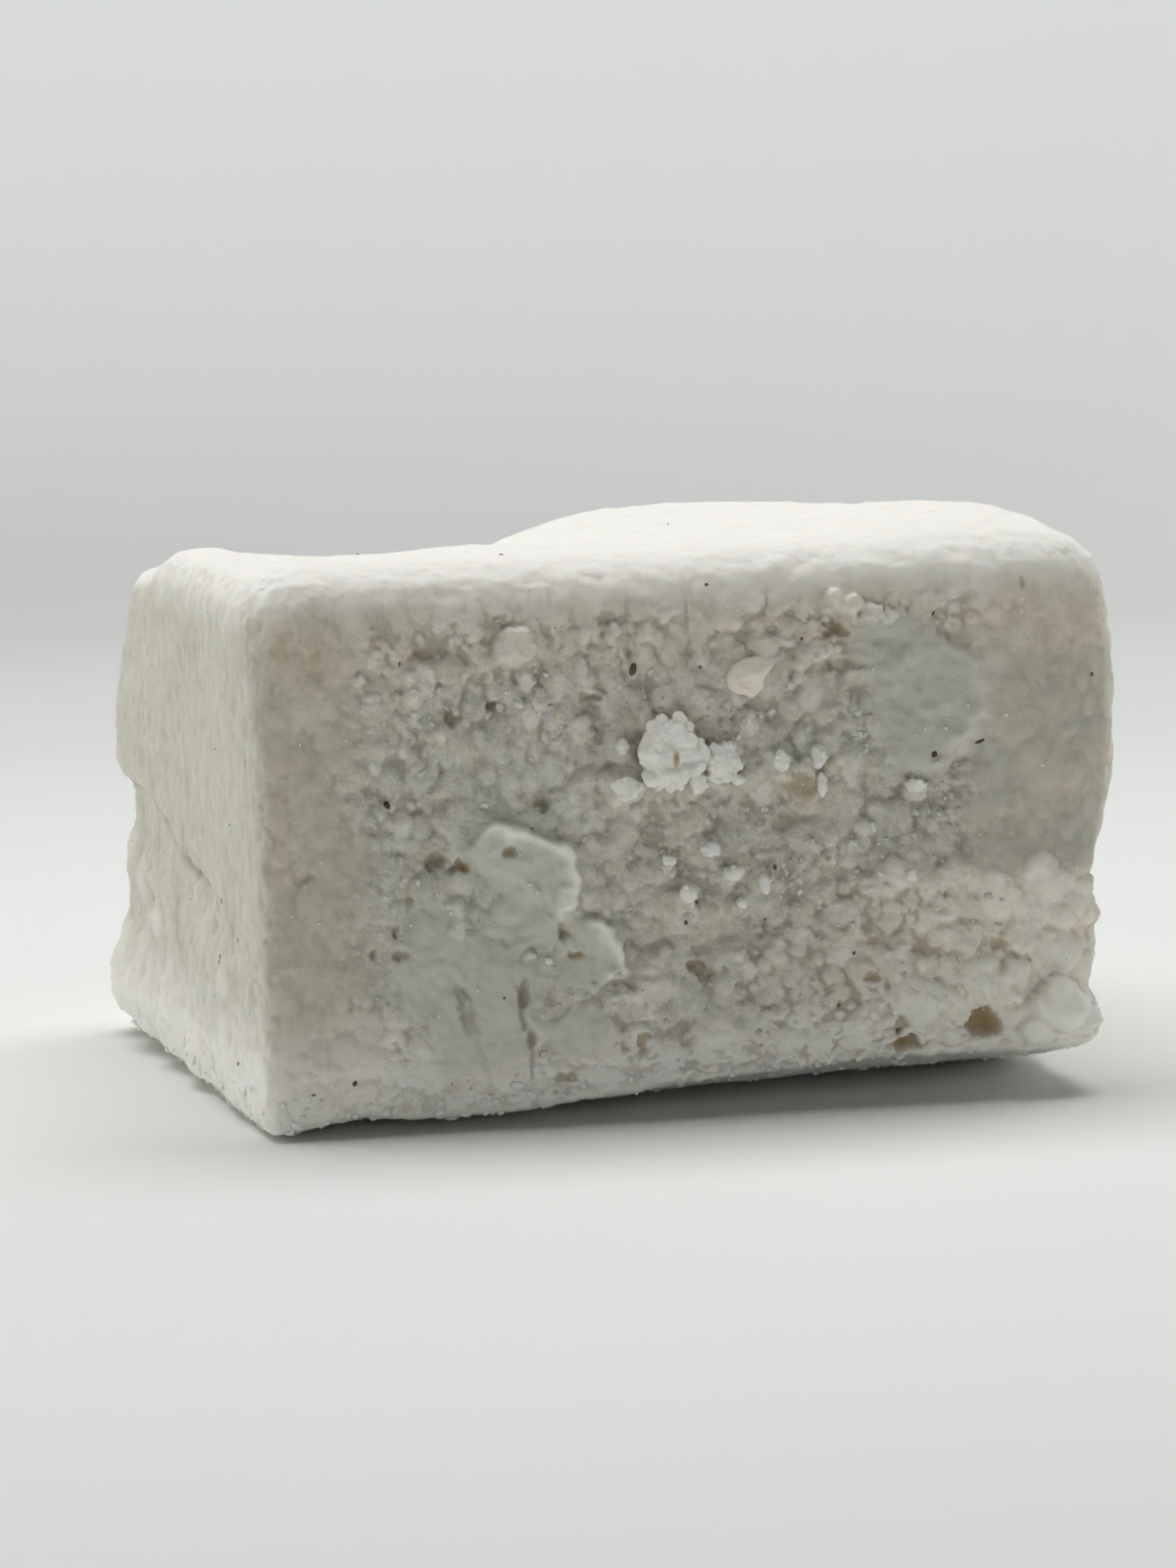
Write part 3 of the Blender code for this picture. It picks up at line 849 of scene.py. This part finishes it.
def foam_material():
    """Cut marshmallow: matte, faintly see-through foam, mottled warm and cool, with painted shade in its
    low places and painted light and highlights on its pale parts.
    """
    graph = Graph("marshmallow_foam", **see_through(0.50, (1.0, 0.85, 0.65), 0.30))
    mottle = graph.ramp(graph.noise(2.4, 4.0, 0.6), 0.40, 0.60)
    blotches = graph.ramp(graph.noise(0.9, 6.0, 0.7), 0.40, 0.66, 0.0, 0.55)
    fine = graph.ramp(graph.noise(0.36, 4.0, 0.7), 0.42, 0.70, 0.0, 0.65)
    colour = graph.mix(mottle, (0.62, 0.608, 0.517, 1.0), (0.70, 0.632, 0.54, 1.0))
    layers = (
        (graph.multiply(graph.mask("cool"), 0.8), (0.60, 0.63, 0.53, 1.0)),
        (graph.multiply(graph.mask("warm"), 0.75), (0.88, 0.78, 0.635, 1.0)),
        (blotches, (0.50, 0.465, 0.385, 1.0)),
        # Cream, also painted brighter as painted light
        (graph.mask("cream_and_painted_light"), (1.0, 0.925, 0.79, 1.0)),
        (graph.multiply(fine, graph.mask("torn")), (0.86, 0.82, 0.735, 1.0)),
        (graph.multiply(graph.mask("film"), 0.68), (0.69, 0.705, 0.63, 1.0)),
        # Dust, and also painted light and painted highlights
        (graph.mask("dust_and_painted_light"), (0.97, 0.94, 0.87, 1.0)),
        # Painted shade in the low places, cracks and pits, and the duller tone of films
        (graph.multiply(graph.mask("painted_shade_and_dull_tone"), 0.70), (0.34, 0.295, 0.23, 1.0)),
        (graph.multiply(graph.mask("stain"), 0.85), (0.42, 0.29, 0.12, 1.0)),
    )
    for share, tint in layers:
        colour = graph.mix(share, colour, tint)
    rough = graph.ramp(graph.mask("film"), 0.0, 1.0, 0.78, 0.50)
    strength = graph.ramp(graph.mask("torn"), 0.0, 1.0, 0.22, 0.9)
    pearls = graph.bumped(graph.ramp(graph.cells(0.42), 0.0, 0.7, 1.0, 0.0), 0.05, strength)
    grain = graph.bumped(graph.noise(0.22, 5.0, 0.7), 0.12, strength, Normal=pearls)
    return graph.finish(colour, rough, grain)


def crumb_material():
    graph = Graph("dry_crumb", **see_through(0.25, (1.0, 0.9, 0.75), 0.4))
    colour = graph.mix(graph.noise(0.5, 3.0), (0.95, 0.92, 0.84, 1.0), (1.0, 0.985, 0.94, 1.0))
    colour = graph.mix(graph.mask("stain"), colour, (0.50, 0.36, 0.16, 1.0))
    rough = graph.ramp(graph.noise(0.3), 0.3, 0.7, 0.6, 0.9)
    return graph.finish(colour, rough, graph.bumped(graph.noise(0.16, 4.0, 0.7), 0.05))


def cream_material():
    graph = Graph("cream_skin", **see_through(0.25, (1.0, 0.8, 0.6), 0.5))
    colour = graph.mix(graph.noise(1.2, 3.0), (0.90, 0.79, 0.66, 1.0), (0.96, 0.90, 0.79, 1.0))
    rough = graph.ramp(graph.noise(0.3), 0.3, 0.7, 0.35, 0.55)
    return graph.finish(colour, rough, graph.bumped(graph.noise(0.35, 4.0, 0.6), 0.06))


def seed_material():
    graph = Graph("vanilla_seed_shell")
    colour = graph.mix(graph.noise(0.2, 2.0), (0.020, 0.013, 0.009, 1.0), (0.10, 0.062, 0.038, 1.0))
    colour = graph.mix(graph.mask("brown"), colour, (0.20, 0.13, 0.075, 1.0))
    rough = graph.ramp(graph.noise(0.15), 0.3, 0.7, 0.35, 0.6)
    return graph.finish(colour, rough, graph.bumped(graph.noise(0.06), 0.02))


def sugar_material():
    graph = Graph("sugar_crystal")
    colour = graph.mix(graph.noise(0.4, 2.0), (0.88, 0.86, 0.80, 1.0), (0.96, 0.95, 0.91, 1.0))
    rough = graph.ramp(graph.noise(0.2), 0.3, 0.7, 0.1, 0.35)
    return graph.finish(colour, rough, graph.bumped(graph.noise(0.05), 0.01))


# ------------------------------ small pieces


# How far outside the block a look at one of its faces starts, in mm
STAND_OFF = 5.0


class Surface:
    """The finished body's surface, found by looking straight at one of its faces."""

    LOOKS = {
        "front": (Vector((0, 1, 0)), lambda u, v: Vector((u, FRONT - STAND_OFF, v))),
        "back": (Vector((0, -1, 0)), lambda u, v: Vector((u, BACK + STAND_OFF, v))),
        "left": (Vector((1, 0, 0)), lambda u, v: Vector((LEFT - STAND_OFF, u, v))),
        "right": (Vector((-1, 0, 0)), lambda u, v: Vector((RIGHT + STAND_OFF, u, v))),
        "top": (Vector((0, 0, -1)), lambda u, v: Vector((u, v, HEIGHT + STAND_OFF))),
    }

    def __init__(self, body):
        places, _ = mesh_arrays(body.data)
        faces = [tuple(face.vertices) for face in body.data.polygons]
        self.tree = BVHTree.FromPolygons(places.tolist(), faces)

    def at(self, face, u, v):
        """(place in mm, outward direction) under (u, v) of the named face, or None."""
        look, start = self.LOOKS[face]
        place, out, *_ = self.tree.ray_cast(start(u, v), look)
        return (place, out) if place else None

    def scattered(self, chance, counts, across, up, gathering=1.0):
        """Chance spots on the named faces, (face, u, v, place, out), gathered at the low end of up."""
        for face, count in counts:
            low, high = across if face == "top" else up
            for _ in range(count):
                u = chance.uniform(*across)
                v = low + (high - low) * chance.random() ** gathering
                found = self.at(face, u, v)
                if found:
                    yield face, u, v, *found


def facing(out, tilt):
    """A turn that lays Z along the outward direction, after a turn of tilt degrees about Z."""
    lie = out.to_track_quat("Z", "Y").to_matrix().to_4x4()
    return lie @ Matrix.Rotation(math.radians(tilt), 4, "Z")


class Knobs:
    """Many small lumps, each a rough ball, gathered into one mesh."""

    def __init__(self, divisions, roughness=0.0):
        shape = bmesh.new()
        bmesh.ops.create_icosphere(shape, subdivisions=divisions, radius=1.0)
        self.ball = np.array([vert.co for vert in shape.verts])
        self.faces = np.array([[vert.index for vert in face.verts] for face in shape.faces])
        shape.free()
        self.roughness = roughness
        self.places = []
        self.turns = []

    def add(self, place, half_sizes, out=Vector((0, -1, 0)), tilt=0.0):
        """Adds a lump whose third half size, in mm, points outwards."""
        turn = facing(out, tilt).to_3x3() @ Matrix.Diagonal(half_sizes)
        self.places.append(tuple(place))
        self.turns.append([tuple(row) for row in turn])

    def mesh(self, name):
        count, points = len(self.places), len(self.ball)
        balls = np.tile(self.ball, (count, 1, 1))
        apart = 7.3 * np.arange(count)[:, None, None]
        swell = self.roughness * noise_at((balls + apart).reshape(-1, 3), 0.8)
        balls = balls * (1.0 + swell.reshape(count, points, 1))
        placed = np.einsum("kij,knj->kni", np.array(self.turns), balls) + np.array(self.places)[:, None]
        faces = self.faces + points * np.arange(count)[:, None, None]
        mesh = bpy.data.meshes.new(name)
        mesh.from_pydata((placed.reshape(-1, 3) * MM).tolist(), [], faces.reshape(-1, 3).tolist())
        return mesh


def add_mask(mesh, name, values):
    mesh.attributes.new(name, "FLOAT", "POINT").data.foreach_set("value", np.asarray(values, np.float32))


def finished(mesh, material):
    """Makes a mesh a piece of the marshmallow."""
    mesh.shade_smooth()
    mesh.materials.clear()
    mesh.materials.append(material)
    piece = link_object(mesh.name, mesh)
    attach(piece, "root")
    return piece


def fused(mesh, voxel):
    """One closed skin round all the lumps of a mesh."""
    name = mesh.name
    mesh.name = "loose"
    whole = modified(mesh, "REMESH", mode="VOXEL", voxel_size=voxel * MM)
    whole.name = name
    return whole


# Crumbs on the front face: (x, z, half width, half height, half thickness) in mm, and their knobs
FRONT_CRUMBS = (
    (-1.15, 16.6, 1.5, 1.6, 1.1, 34), (0.2, 15.25, 0.4, 0.6, 0.45, 6),
    (1.35, 16.1, 0.85, 0.95, 0.6, 22), (2.1, 15.3, 0.36, 0.3, 0.35, 5),
    (-3.2, 17.0, 0.34, 0.42, 0.4, 4), (-3.2, 15.2, 0.68, 0.6, 0.4, 8), (4.0, 16.1, 0.42, 0.5, 0.3, 5),
    (5.8, 16.2, 0.45, 0.6, 0.36, 8), (6.0, 14.9, 0.3, 0.6, 0.3, 6), (10.5, 14.6, 0.6, 0.36, 0.32, 6),
    (9.95, 10.6, 0.25, 0.25, 0.25, 4), (0.72, 12.2, 0.45, 0.38, 0.3, 5),
    (-1.2, 11.8, 0.4, 0.28, 0.26, 4), (1.75, 11.1, 0.5, 0.42, 0.34, 5), (3.15, 10.5, 0.3, 0.55, 0.3, 6),
    (2.15, 9.7, 0.3, 0.26, 0.26, 3), (-0.45, 10.3, 0.4, 0.5, 0.28, 6),
)

# How fine the closed skin round the knobs is, in mm
CRUMB_VOXEL = 0.06
# The brown stain on the largest crumb, its middle and half sizes
CRUMB_STAIN = (-1.1, 16.45)
CRUMB_STAIN_SIZE = (0.17, 0.42)

# The cream flake on the front face, an outline of (x, z) in mm
FLAKE = (
    (1.55, 19.9), (1.85, 20.45), (2.4, 20.75), (3.1, 20.85), (4.25, 20.8), (3.75, 20.0), (3.35, 19.3),
    (2.85, 18.9), (2.2, 19.0), (1.7, 19.4),
)
FLAKE_RINGS = 14
# How far its middle bulges and how deep its rim lies under the front face, in mm, and how much of
# the bulge its outer and its inner side take
FLAKE_BULGE = 0.50
FLAKE_DEPTH = 0.15
FLAKE_SIDES = (1.0, -0.4)


def front_crumbs(surface, material):
    """Dry crumbs that cling to the cut face, each a knobbly cluster."""
    chance = random.Random(5)
    knobs = Knobs(3, 0.15)
    for x, z, half_width, half_height, thickness, count in FRONT_CRUMBS:
        place, _ = surface.at("front", x, z)
        place = place + Vector((0, -0.25 * thickness, 0))
        knobs.add(place, (0.93 * half_width, 0.93 * half_height, thickness))
        for _ in range(count):
            turn = chance.uniform(0, 2 * math.pi)
            reach = chance.uniform(0.5, 1.0)
            across, up = reach * half_width * math.cos(turn), reach * half_height * math.sin(turn)
            lift = thickness * 0.9 * math.sqrt(1.0 - reach * reach)
            size = chance.uniform(0.12, 0.27) * (half_width + half_height) / 2
            half_sizes = (size, size * chance.uniform(0.8, 1.3), size)
            knobs.add(place + Vector((across, -lift, up)), half_sizes)
    mesh = fused(knobs.mesh("front_crumbs"), CRUMB_VOXEL)
    places, outs = mesh_arrays(mesh)
    rough = 0.05 * noise_at(places, 0.22, 3.0) + 0.08 * noise_at(places, 0.70, 8.0)
    set_places(mesh, places + outs * rough[:, None])
    add_mask(mesh, "stain", bump(places[:, (0, 2)], CRUMB_STAIN, CRUMB_STAIN_SIZE))
    return finished(mesh, material)


def cream_flake(surface, material):
    """A curled flake of skin, thick in its middle and thin at its rim."""
    corners = [np.array(corner) for corner in FLAKE]
    middle = np.mean(corners, axis=0)
    rim = []
    for corner, after in zip(corners, corners[1:] + corners[:1]):
        rim += [corner, (corner + after) / 2]
    place, _ = surface.at("front", *middle)
    shape = bmesh.new()
    layers = []
    for side in FLAKE_SIDES:
        layer = []
        for ring in range(FLAKE_RINGS):
            share = (ring + 1) / FLAKE_RINGS
            loop = []
            for x, z in (middle + (point - middle) * share for point in rim):
                wave = noise.noise(Vector((x, z, 4.0)) / 0.55)
                wave += 0.5 * noise.noise(Vector((x, z, 9.0)) / 0.25)
                lift = FLAKE_BULGE * math.sqrt(1.0 - min(share, 0.995) ** 2) * (1.0 + 0.35 * wave)
                loop.append(shape.verts.new((x, FRONT + FLAKE_DEPTH - side * lift, z)))
            layer.append(loop)
        layers.append(layer)
    for layer in layers:
        hub = shape.verts.new(sum((vert.co for vert in layer[0]), Vector()) / len(rim))
        for first, second in zip(layer[0], layer[0][1:] + layer[0][:1]):
            shape.faces.new((hub, first, second))
        for inner, outer in zip(layer, layer[1:]):
            add_band(shape, inner, outer)
    add_band(shape, layers[0][-1], layers[1][-1])
    bmesh.ops.recalc_face_normals(shape, faces=shape.faces)
    bmesh.ops.translate(shape, verts=shape.verts, vec=(0.0, place.y - FRONT, 0.0))
    bmesh.ops.scale(shape, verts=shape.verts, vec=(MM, MM, MM))
    return finished(mesh_from(shape, "cream_flake"), material)


# How many chance spots are tried on each face for each kind of loose piece
GRANULES = (("front", 2200), ("back", 900), ("right", 400))
LOOSE_SEEDS = (("top", 8), ("left", 9), ("back", 22), ("right", 18))
SUGAR_GRAINS = (("front", 300), ("left", 120), ("back", 160), ("right", 120))
EDGE_CRUMBS = (("front", 380), ("left", 160), ("back", 180), ("right", 180))


def front_crowding(x, z):
    """How thickly granules lie on the front face, below 0 where there are none."""
    if any(inside_outline(np.array(((x, z),)), film.outline)[0] > -0.1 for film in FILMS):
        return -1.0
    left = smooth_step(-11.5, -14.5, x)
    smooth_corner = smooth_step(12.0, 14.0, x) * smooth_step(10.5, 12.0, z)
    foot = smooth_step(8.0, 12.0, x) * smooth_step(12.0, 10.0, z)
    return -1.3 * left - 1.3 * smooth_corner - 0.6 * smooth_step(20.0, 22.0, z) - 0.7 * foot


def foam_granules(surface, material):
    """Small knobs of torn foam, thickest where the front and the back face are curdy."""
    chance = random.Random(47)
    knobs = Knobs(2, 0.8)
    paleness = []
    for face, x, z, place, out in surface.scattered(chance, GRANULES, (-18.5, 18.5), (1.5, 23.0)):
        flat = Vector((x, z, 3.0))
        crowd = 0.25 + 1.1 * noise.noise(flat / 2.6) + 0.6 * noise.noise(flat / 0.9)
        if face == "front":
            crowd += front_crowding(x, z)
        if chance.random() > crowd:
            continue
        size = 0.06 + 0.15 * chance.random() ** 2
        half_sizes = (size, size * chance.uniform(0.7, 1.6), size * chance.uniform(0.6, 1.0))
        knobs.add(place - out * size * 0.10, half_sizes, out, chance.uniform(0, 180))
        paleness.append(chance.random() ** 1.5)
    mesh = knobs.mesh("foam_granules")
    add_mask(mesh, "dust_and_painted_light", np.repeat(paleness, len(knobs.ball)))
    add_mask(mesh, "torn", np.full(len(mesh.vertices), 0.5))
    return finished(mesh, material)


def vanilla_seeds(surface, material):
    """Vanilla seeds, black where they lie bare and browner where foam covers them."""
    chance = random.Random(11)
    knobs = Knobs(2, 0.3)
    browns = []
    for x, z, half_width, half_height, tilt, brown in FRONT_SEEDS:
        place, out = surface.at("front", x, z)
        half_sizes = (half_width, half_height, min(half_width, half_height))
        knobs.add(place - out * 0.55 * half_sizes[2], half_sizes, tilt=tilt)
        browns.append(brown)
    for *_, place, out in surface.scattered(chance, LOOSE_SEEDS, (-17.5, 17.5), (1.5, 22.5)):
        size = 0.05 + 0.09 * chance.random() ** 2
        half_sizes = (size, size * chance.uniform(1.0, 1.8), size)
        knobs.add(place - out * 0.4 * size, half_sizes, out, chance.uniform(0, 180))
        browns.append(chance.uniform(0.2, 1.0))
    mesh = knobs.mesh("vanilla_seeds")
    add_mask(mesh, "brown", np.repeat(browns, len(knobs.ball)))
    return finished(mesh, material)


def sugar_grains(surface, material):
    """Single sugar grains, flat-sided, that cling to the sides."""
    chance = random.Random(23)
    knobs = Knobs(1, 0.5)
    for *_, place, out in surface.scattered(chance, SUGAR_GRAINS, (-18.5, 18.5), (1.0, 23.5)):
        size = 0.035 + 0.06 * chance.random() ** 2
        knobs.add(place + out * size * 0.4, (size, size, size), out, chance.uniform(0, 180))
    piece = finished(knobs.mesh("sugar_grains"), material)
    piece.data.shade_flat()
    return piece


def edge_crumbs(surface, material):
    """Ragged crumbs along the lower edge of the sides."""
    chance = random.Random(31)
    knobs = Knobs(2, 0.55)
    for *_, place, out in surface.scattered(chance, EDGE_CRUMBS, (-19.3, 19.3), (0.3, 2.2), 2.5):
        size = 0.06 + 0.14 * chance.random() ** 2
        half_sizes = (size, size * chance.uniform(0.7, 1.8), size * 0.7)
        knobs.add(place, half_sizes, out, chance.uniform(0, 180))
    mesh = knobs.mesh("edge_crumbs")
    add_mask(mesh, "dust_and_painted_light", np.full(len(mesh.vertices), 0.9))
    return finished(mesh, material)


# ------------------------------ stage, light and camera


# The dish's profile, (radius, height) in metres, and the reaches in metres over which its pale
# middle ends and its far part begins to glow
DISH = (
    (0.3, 0.0), (0.45, 0.0), (0.55, 0.004), (0.64, 0.02), (0.71, 0.055), (0.76, 0.12), (0.78, 0.24),
)
DISH_SEGMENTS = 96
PALE_REACH = (0.07, 0.18)
GLOW_REACH = (0.32, 0.78)
GLOW = 0.42


def stage():
    """A pale dish: a flat floor that turns up into a low wall all round."""
    shape = bmesh.new()
    turns = [2.0 * math.pi * step / DISH_SEGMENTS for step in range(DISH_SEGMENTS)]
    rings = []
    for radius, height in DISH:
        rings.append([shape.verts.new((radius * math.cos(t), radius * math.sin(t), height)) for t in turns])
    shape.faces.new(rings[0])
    for inner, outer in zip(rings, rings[1:]):
        add_band(shape, inner, outer)
    mesh = mesh_from(shape, "floor")
    mesh.shade_smooth()
    floor = link_object("floor", mesh)
    graph = Graph("pale_floor", Roughness=0.9, Emission_Color=(0.97, 1.0, 0.97, 1.0))
    reach = graph.add("VectorMath", "Value", {0: graph.place}, operation="LENGTH")
    near = graph.mix(graph.noise(200.0), (0.83, 0.84, 0.82, 1.0), (0.85, 0.86, 0.84, 1.0))
    colour = graph.mix(graph.ramp(reach, *PALE_REACH), near, (0.725, 0.735, 0.725, 1.0))
    graph.link(colour, graph.shader.inputs["Base Color"])
    graph.link(graph.ramp(reach, *GLOW_REACH, 0.0, GLOW), graph.shader.inputs["Emission Strength"])
    mesh.materials.append(graph.material)
    floor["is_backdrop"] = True


def area_light(name, place, size, power):
    """A soft rectangle of light that looks at the marshmallow."""
    lamp = bpy.data.lights.new(name, "AREA")
    lamp.shape = "RECTANGLE"
    lamp.size, lamp.size_y = size
    lamp.energy = power
    holder = link_object(name, lamp)
    holder.location = place
    holder.rotation_euler = (-Vector(place)).to_track_quat("-Z", "Y").to_euler()


# The lights: name, place and size in metres, power in watts
LIGHTS = (
    ("overhead", (0.0, 0.11, 0.50), (0.6, 0.34), 2.70),
    ("left_wall", (-0.5, 0.14, 0.20), (0.35, 0.35), 0.41),
    ("right_wall", (0.48, 0.34, 0.18), (0.3, 0.3), 0.44),
)
WORLD_COLOUR = (0.62, 0.64, 0.62, 1.0)
WORLD_STRENGTH = 0.02


def lights():
    for light in LIGHTS:
        area_light(*light)
    world = bpy.data.worlds.new("world")
    world.use_nodes = True
    background = world.node_tree.nodes["Background"]
    background.inputs["Color"].default_value = WORLD_COLOUR
    background.inputs["Strength"].default_value = WORLD_STRENGTH
    bpy.context.scene.world = world


# Where the camera stands and its focal length, in mm, and how far it is rolled, in degrees
CAMERA_PLACE = (-57.2, -238.95, 37.7)
CAMERA_LENS = 116.0
CAMERA_ROLL = 1.4


def camera():
    lens = bpy.data.cameras.new("camera")
    lens.lens = CAMERA_LENS
    place = Vector(CAMERA_PLACE) * MM
    middle = Vector((LOWEST + HIGHEST) / 2.0) * MM
    aim = (middle - place).to_track_quat("-Z", "Y").to_matrix().to_4x4()
    roll = Matrix.Rotation(math.radians(-CAMERA_ROLL), 4, "Z")
    holder = link_object("camera", lens)
    holder.matrix_world = Matrix.Translation(place) @ aim @ roll
    bpy.context.scene.camera = holder


# ------------------------------ the scene

bpy.context.scene.view_settings.view_transform = "Standard"

foam, crumb = foam_material(), crumb_material()

body = marshmallow_body()
body.data.materials.clear()
body.data.materials.append(foam)
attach(body, "root")
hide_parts(NODE)

surface = Surface(body)
front_crumbs(surface, crumb)
cream_flake(surface, cream_material())
foam_granules(surface, foam)
edge_crumbs(surface, foam)
vanilla_seeds(surface, seed_material())
sugar_grains(surface, sugar_material())

stage()
lights()
camera()

cad, visual = ([list(corner) for corner in box] for box in (CAD_BOX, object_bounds()))
